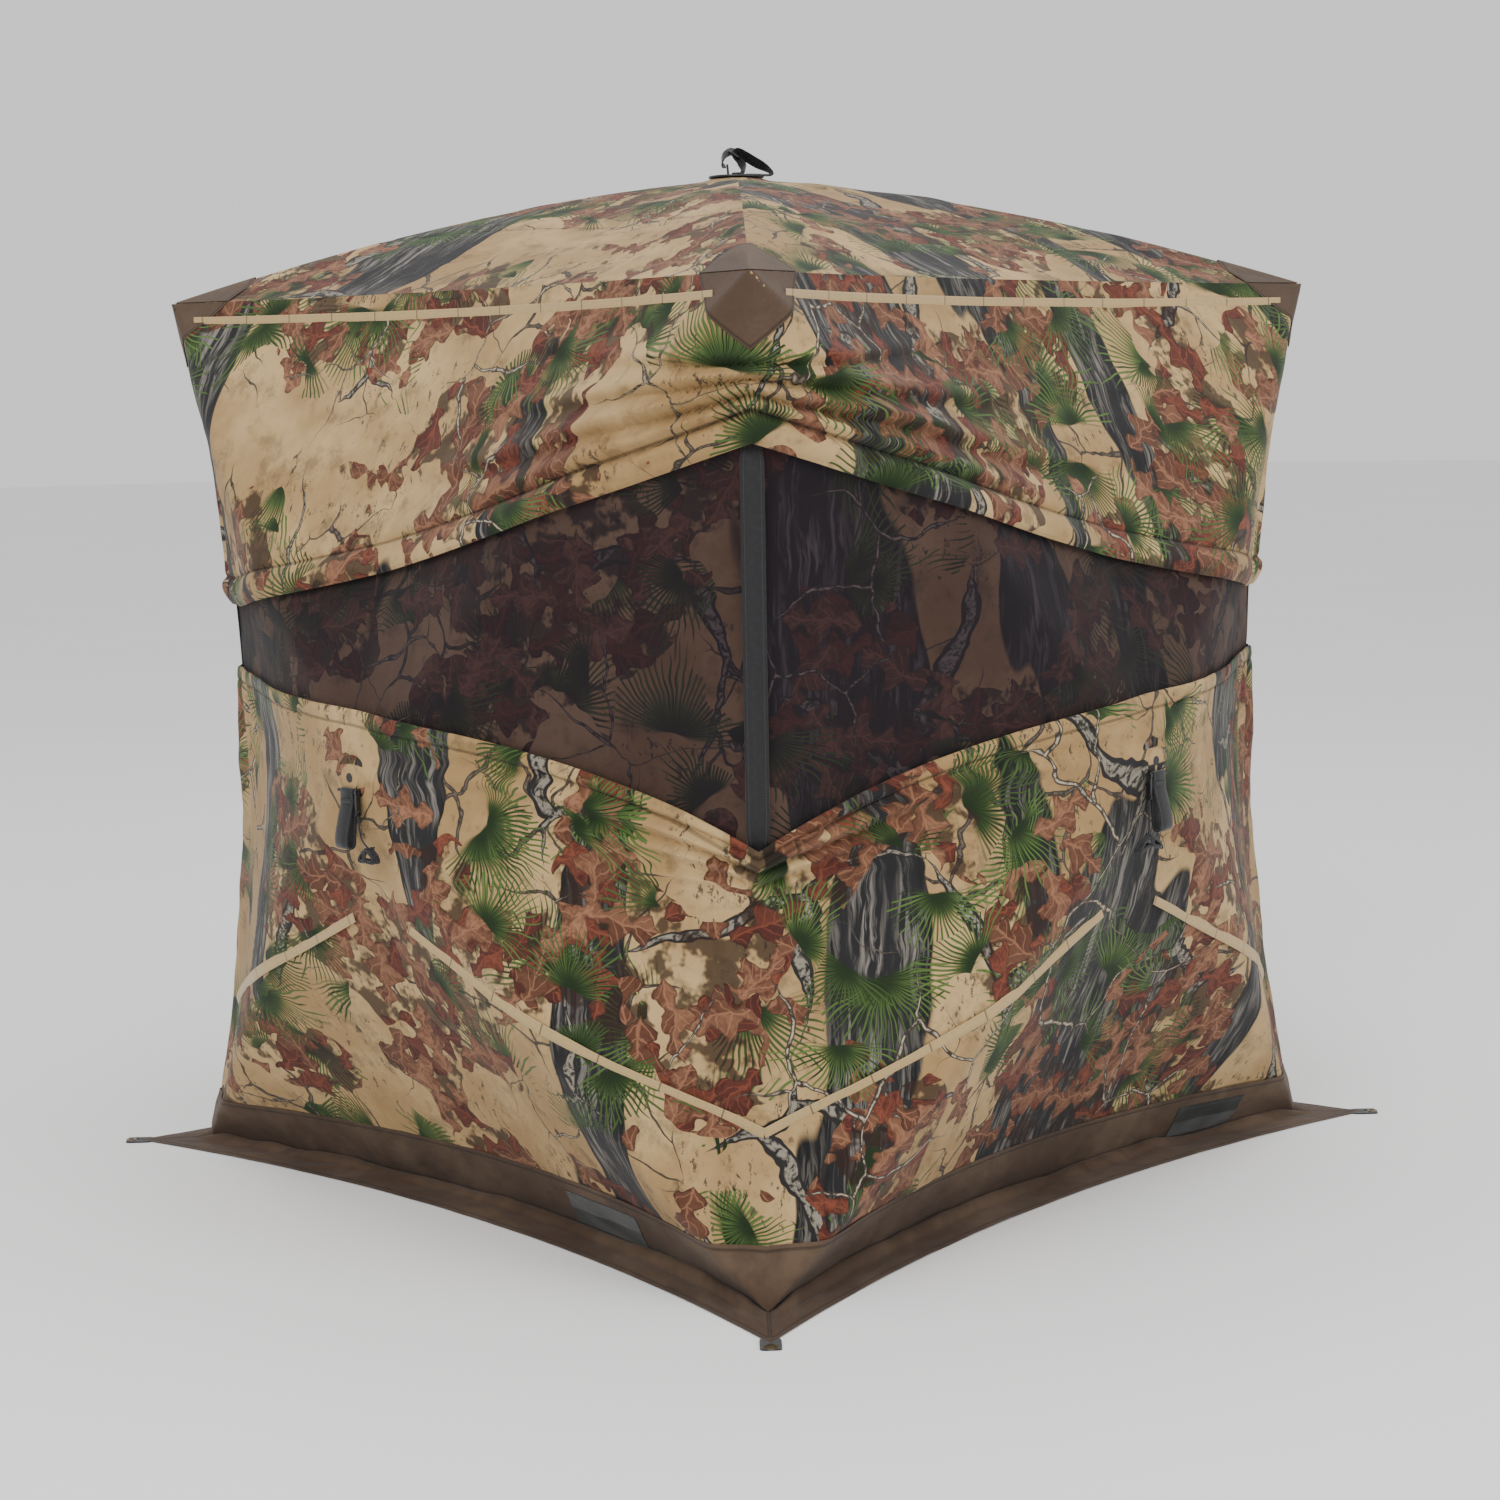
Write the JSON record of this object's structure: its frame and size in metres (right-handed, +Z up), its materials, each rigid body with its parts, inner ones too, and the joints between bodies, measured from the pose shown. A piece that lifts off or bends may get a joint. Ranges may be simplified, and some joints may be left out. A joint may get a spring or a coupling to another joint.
{
  "type": "pop up ground blind",
  "caption": "Square cloth hide on sprung hubs and bent rods, with a mesh window round it, a ground skirt and pull straps.",
  "frame": {"origin": "on the ground at the middle of the floor", "axes": "+Z up; the front wall faces -Y and the right wall faces +X"},
  "size_m": [1.958, 1.958, 1.888],
  "materials": {
    "camouflage_cloth": "coated polyester, woodland print",
    "brown_cloth": "coated polyester, plain",
    "see_through_mesh": "printed shoot-through mesh",
    "black_webbing": "woven polypropylene webbing",
    "loop_tape": "woven tape",
    "cap_nylon": "moulded nylon",
    "hub_nylon": "moulded glass-filled nylon",
    "fibreglass": "pultruded rod",
    "zip_tape": "nylon coil zip",
    "zip_metal": "black die-cast",
    "grommet_metal": "blackened brass",
    "clip_nylon": "moulded acetal",
    "guy_cord": "braided cord"
  },
  "bodies": {
    "shell": {"brush_strips": "loop_tape", "corner_straps": "black_webbing", "foot_band": "brown_cloth", "ground_skirt": "brown_cloth", "rod_pockets": "brown_cloth", "roof_cloth": "camouflage_cloth", "stake_grommets": "grommet_metal", "stake_tabs": "black_webbing", "wall_lower_back": "camouflage_cloth", "wall_lower_front": "camouflage_cloth", "wall_lower_left": "camouflage_cloth", "wall_lower_right": "camouflage_cloth", "wall_upper_back": "camouflage_cloth", "wall_upper_front": "camouflage_cloth", "wall_upper_left": "camouflage_cloth", "wall_upper_right": "camouflage_cloth", "window_mesh": "see_through_mesh", "zip_chain": "zip_tape"},
    "hub_front": {"guy_hank_front": "guy_cord", "guy_line_front": "guy_cord", "hub_cap_front": "cap_nylon", "hub_front": "hub_nylon", "line_clip_front": "clip_nylon"},
    "rod_front_upper_right": {"rod_front_upper_right": "fibreglass"},
    "rod_front_upper_left": {"rod_front_upper_left": "fibreglass"},
    "rod_front_lower_left": {"rod_front_lower_left": "fibreglass"},
    "rod_front_lower_right": {"rod_front_lower_right": "fibreglass"},
    "pull_strap_front": {"pull_strap_front": "black_webbing"},
    "hub_right": {"guy_hank_right": "guy_cord", "guy_line_right": "guy_cord", "hub_cap_right": "cap_nylon", "hub_right": "hub_nylon", "line_clip_right": "clip_nylon"},
    "rod_right_upper_right": {"rod_right_upper_right": "fibreglass"},
    "rod_right_upper_left": {"rod_right_upper_left": "fibreglass"},
    "rod_right_lower_left": {"rod_right_lower_left": "fibreglass"},
    "rod_right_lower_right": {"rod_right_lower_right": "fibreglass"},
    "pull_strap_right": {"pull_strap_right": "black_webbing"},
    "hub_back": {"hub_back": "hub_nylon", "hub_cap_back": "cap_nylon"},
    "rod_back_upper_right": {"rod_back_upper_right": "fibreglass"},
    "rod_back_upper_left": {"rod_back_upper_left": "fibreglass"},
    "rod_back_lower_left": {"rod_back_lower_left": "fibreglass"},
    "rod_back_lower_right": {"rod_back_lower_right": "fibreglass"},
    "pull_strap_back": {"pull_strap_back": "black_webbing"},
    "hub_left": {"hub_cap_left": "cap_nylon", "hub_left": "hub_nylon"},
    "rod_left_upper_right": {"rod_left_upper_right": "fibreglass"},
    "rod_left_upper_left": {"rod_left_upper_left": "fibreglass"},
    "rod_left_lower_left": {"rod_left_lower_left": "fibreglass"},
    "rod_left_lower_right": {"rod_left_lower_right": "fibreglass"},
    "pull_strap_left": {"pull_strap_left": "black_webbing"},
    "hub_roof": {"hub_cap_roof": "cap_nylon", "hub_roof": "hub_nylon", "roof_handle": "black_webbing"},
    "rod_roof_back_right": {"rod_roof_back_right": "fibreglass"},
    "rod_roof_back_left": {"rod_roof_back_left": "fibreglass"},
    "rod_roof_front_left": {"rod_roof_front_left": "fibreglass"},
    "rod_roof_front_right": {"rod_roof_front_right": "fibreglass"},
    "zip_slider": {"zip_slider": "zip_metal"}
  },
  "joints": [
    {"name": "front_hub_push", "type": "slide", "parent": "shell", "child": "hub_front", "axis": [0, -1, 0], "range_m": [-0.34, 0], "deforming": ["wall_lower_front", "wall_upper_front", "window_mesh", "brush_strips", "foot_band"]},
    {"name": "rod_front_upper_right_swing", "type": "hinge", "parent": "hub_front", "child": "rod_front_upper_right", "pos_m": [0.0204, -0.922, 0.831], "axis": [0.7333, 0, -0.6799], "range_deg": [0, 19.13]},
    {"name": "rod_front_upper_left_swing", "type": "hinge", "parent": "hub_front", "child": "rod_front_upper_left", "pos_m": [-0.0204, -0.922, 0.831], "axis": [0.7333, 0, 0.6799], "range_deg": [0, 19.13]},
    {"name": "rod_front_lower_left_swing", "type": "hinge", "parent": "hub_front", "child": "rod_front_lower_left", "pos_m": [-0.0204, -0.922, 0.787], "axis": [-0.7333, 0, 0.6799], "range_deg": [0, 19.13]},
    {"name": "rod_front_lower_right_swing", "type": "hinge", "parent": "hub_front", "child": "rod_front_lower_right", "pos_m": [0.0204, -0.922, 0.787], "axis": [-0.7333, 0, -0.6799], "range_deg": [0, 19.13]},
    {"name": "pull_strap_front_swing", "type": "hinge", "parent": "hub_front", "child": "pull_strap_front", "pos_m": [0, -0.96, 0.787], "axis": [-1, 0, 0], "range_deg": [0, 100]},
    {"name": "right_hub_push", "type": "slide", "parent": "shell", "child": "hub_right", "axis": [1, 0, 0], "range_m": [-0.34, 0], "deforming": ["wall_lower_right", "wall_upper_right", "window_mesh", "brush_strips", "foot_band"]},
    {"name": "rod_right_upper_right_swing", "type": "hinge", "parent": "hub_right", "child": "rod_right_upper_right", "pos_m": [0.922, 0.0204, 0.831], "axis": [0, 0.7333, -0.6799], "range_deg": [0, 19.13]},
    {"name": "rod_right_upper_left_swing", "type": "hinge", "parent": "hub_right", "child": "rod_right_upper_left", "pos_m": [0.922, -0.0204, 0.831], "axis": [0, 0.7333, 0.6799], "range_deg": [0, 19.13]},
    {"name": "rod_right_lower_left_swing", "type": "hinge", "parent": "hub_right", "child": "rod_right_lower_left", "pos_m": [0.922, -0.0204, 0.787], "axis": [0, -0.7333, 0.6799], "range_deg": [0, 19.13]},
    {"name": "rod_right_lower_right_swing", "type": "hinge", "parent": "hub_right", "child": "rod_right_lower_right", "pos_m": [0.922, 0.0204, 0.787], "axis": [0, -0.7333, -0.6799], "range_deg": [0, 19.13]},
    {"name": "pull_strap_right_swing", "type": "hinge", "parent": "hub_right", "child": "pull_strap_right", "pos_m": [0.96, 0, 0.787], "axis": [0, -1, 0], "range_deg": [0, 100]},
    {"name": "back_hub_push", "type": "slide", "parent": "shell", "child": "hub_back", "axis": [0, 1, 0], "range_m": [-0.34, 0], "deforming": ["wall_lower_back", "wall_upper_back", "window_mesh", "brush_strips", "foot_band"]},
    {"name": "rod_back_upper_right_swing", "type": "hinge", "parent": "hub_back", "child": "rod_back_upper_right", "pos_m": [-0.0204, 0.922, 0.831], "axis": [-0.7333, 0, -0.6799], "range_deg": [0, 19.13]},
    {"name": "rod_back_upper_left_swing", "type": "hinge", "parent": "hub_back", "child": "rod_back_upper_left", "pos_m": [0.0204, 0.922, 0.831], "axis": [-0.7333, 0, 0.6799], "range_deg": [0, 19.13]},
    {"name": "rod_back_lower_left_swing", "type": "hinge", "parent": "hub_back", "child": "rod_back_lower_left", "pos_m": [0.0204, 0.922, 0.787], "axis": [0.7333, 0, 0.6799], "range_deg": [0, 19.13]},
    {"name": "rod_back_lower_right_swing", "type": "hinge", "parent": "hub_back", "child": "rod_back_lower_right", "pos_m": [-0.0204, 0.922, 0.787], "axis": [0.7333, 0, -0.6799], "range_deg": [0, 19.13]},
    {"name": "pull_strap_back_swing", "type": "hinge", "parent": "hub_back", "child": "pull_strap_back", "pos_m": [0, 0.96, 0.787], "axis": [1, 0, 0], "range_deg": [0, 100]},
    {"name": "left_hub_push", "type": "slide", "parent": "shell", "child": "hub_left", "axis": [-1, 0, 0], "range_m": [-0.34, 0], "deforming": ["wall_lower_left", "wall_upper_left", "window_mesh", "brush_strips", "foot_band"]},
    {"name": "rod_left_upper_right_swing", "type": "hinge", "parent": "hub_left", "child": "rod_left_upper_right", "pos_m": [-0.922, -0.0204, 0.831], "axis": [0, -0.7333, -0.6799], "range_deg": [0, 19.13]},
    {"name": "rod_left_upper_left_swing", "type": "hinge", "parent": "hub_left", "child": "rod_left_upper_left", "pos_m": [-0.922, 0.0204, 0.831], "axis": [0, -0.7333, 0.6799], "range_deg": [0, 19.13]},
    {"name": "rod_left_lower_left_swing", "type": "hinge", "parent": "hub_left", "child": "rod_left_lower_left", "pos_m": [-0.922, 0.0204, 0.787], "axis": [0, 0.7333, 0.6799], "range_deg": [0, 19.13]},
    {"name": "rod_left_lower_right_swing", "type": "hinge", "parent": "hub_left", "child": "rod_left_lower_right", "pos_m": [-0.922, -0.0204, 0.787], "axis": [0, 0.7333, -0.6799], "range_deg": [0, 19.13]},
    {"name": "pull_strap_left_swing", "type": "hinge", "parent": "hub_left", "child": "pull_strap_left", "pos_m": [-0.96, 0, 0.787], "axis": [0, 1, 0], "range_deg": [0, 100]},
    {"name": "roof_hub_push", "type": "slide", "parent": "shell", "child": "hub_roof", "axis": [0, 0, 1], "range_m": [-0.368, 0], "deforming": ["roof_cloth"]},
    {"name": "rod_roof_back_right_swing", "type": "hinge", "parent": "hub_roof", "child": "rod_roof_back_right", "pos_m": [0.02121, 0.02121, 1.804], "axis": [0.7071, -0.7071, 0], "range_deg": [0, 21.55]},
    {"name": "rod_roof_back_left_swing", "type": "hinge", "parent": "hub_roof", "child": "rod_roof_back_left", "pos_m": [-0.02121, 0.02121, 1.804], "axis": [0.7071, 0.7071, 0], "range_deg": [0, 21.55]},
    {"name": "rod_roof_front_left_swing", "type": "hinge", "parent": "hub_roof", "child": "rod_roof_front_left", "pos_m": [-0.02121, -0.02121, 1.804], "axis": [-0.7071, 0.7071, 0], "range_deg": [0, 21.55]},
    {"name": "rod_roof_front_right_swing", "type": "hinge", "parent": "hub_roof", "child": "rod_roof_front_right", "pos_m": [0.02121, -0.02121, 1.804], "axis": [-0.7071, -0.7071, 0], "range_deg": [0, 21.55]},
    {"name": "zip_slider_run", "type": "hinge", "parent": "shell", "child": "zip_slider", "pos_m": [-2.96053, 3.04736, 0.80895], "axis": [-0.7071, -0.7071, 0], "range_deg": [0, 16.69]}
  ],
  "couplings": [
    {"joint": "rod_front_upper_right_swing", "follows": "front_hub_push", "rad_per_m": -0.97695},
    {"joint": "rod_front_upper_left_swing", "follows": "front_hub_push", "rad_per_m": -0.97695},
    {"joint": "rod_front_lower_left_swing", "follows": "front_hub_push", "rad_per_m": -0.97695},
    {"joint": "rod_front_lower_right_swing", "follows": "front_hub_push", "rad_per_m": -0.97695},
    {"joint": "rod_right_upper_right_swing", "follows": "right_hub_push", "rad_per_m": -0.97695},
    {"joint": "rod_right_upper_left_swing", "follows": "right_hub_push", "rad_per_m": -0.97695},
    {"joint": "rod_right_lower_left_swing", "follows": "right_hub_push", "rad_per_m": -0.97695},
    {"joint": "rod_right_lower_right_swing", "follows": "right_hub_push", "rad_per_m": -0.97695},
    {"joint": "rod_back_upper_right_swing", "follows": "back_hub_push", "rad_per_m": -0.97695},
    {"joint": "rod_back_upper_left_swing", "follows": "back_hub_push", "rad_per_m": -0.97695},
    {"joint": "rod_back_lower_left_swing", "follows": "back_hub_push", "rad_per_m": -0.97695},
    {"joint": "rod_back_lower_right_swing", "follows": "back_hub_push", "rad_per_m": -0.97695},
    {"joint": "rod_left_upper_right_swing", "follows": "left_hub_push", "rad_per_m": -0.97695},
    {"joint": "rod_left_upper_left_swing", "follows": "left_hub_push", "rad_per_m": -0.97695},
    {"joint": "rod_left_lower_left_swing", "follows": "left_hub_push", "rad_per_m": -0.97695},
    {"joint": "rod_left_lower_right_swing", "follows": "left_hub_push", "rad_per_m": -0.97695},
    {"joint": "rod_roof_back_right_swing", "follows": "roof_hub_push", "rad_per_m": -1.0171},
    {"joint": "rod_roof_back_left_swing", "follows": "roof_hub_push", "rad_per_m": -1.0171},
    {"joint": "rod_roof_front_left_swing", "follows": "roof_hub_push", "rad_per_m": -1.0171},
    {"joint": "rod_roof_front_right_swing", "follows": "roof_hub_push", "rad_per_m": -1.0171}
  ]
}
